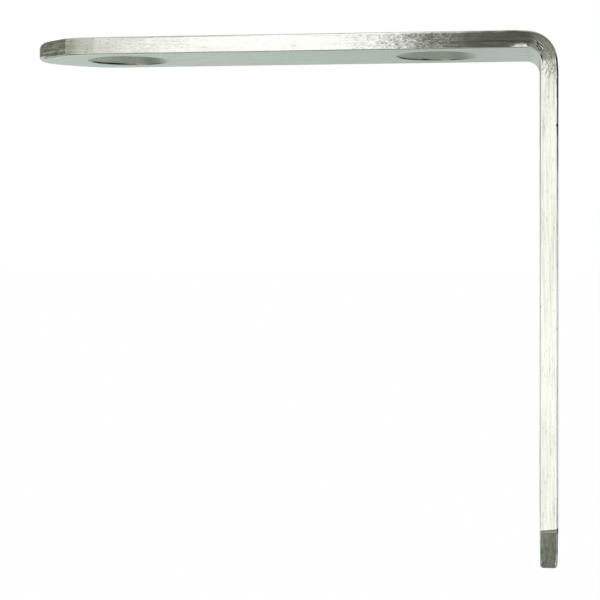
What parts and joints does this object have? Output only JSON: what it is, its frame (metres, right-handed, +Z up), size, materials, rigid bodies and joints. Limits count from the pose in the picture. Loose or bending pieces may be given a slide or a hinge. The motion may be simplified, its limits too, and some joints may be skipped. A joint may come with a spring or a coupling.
{
  "type": "corner brace bracket",
  "caption": "Flat steel bar bent to a right angle, with rounded tips and countersunk screw holes on its inner faces, for bracing a corner or holding a shelf.",
  "frame": {"origin": "midpoint of the wall arm's screw pattern, on the wall arm's outer face", "axes": "+Z up along the wall arm towards the heel and out of the shelf arm's outer face, +X out of the wall arm's outer face into the wall, so the shelf arm reaches towards -X, +Y across the bar's width"},
  "size_m": [0.0635, 0.0162, 0.0634],
  "materials": {
    "bright_steel": "bright tumbled steel with fine lengthwise streaks"
  },
  "bodies": {
    "root": {"corner_brace": "bright_steel"}
  },
  "joints": []
}
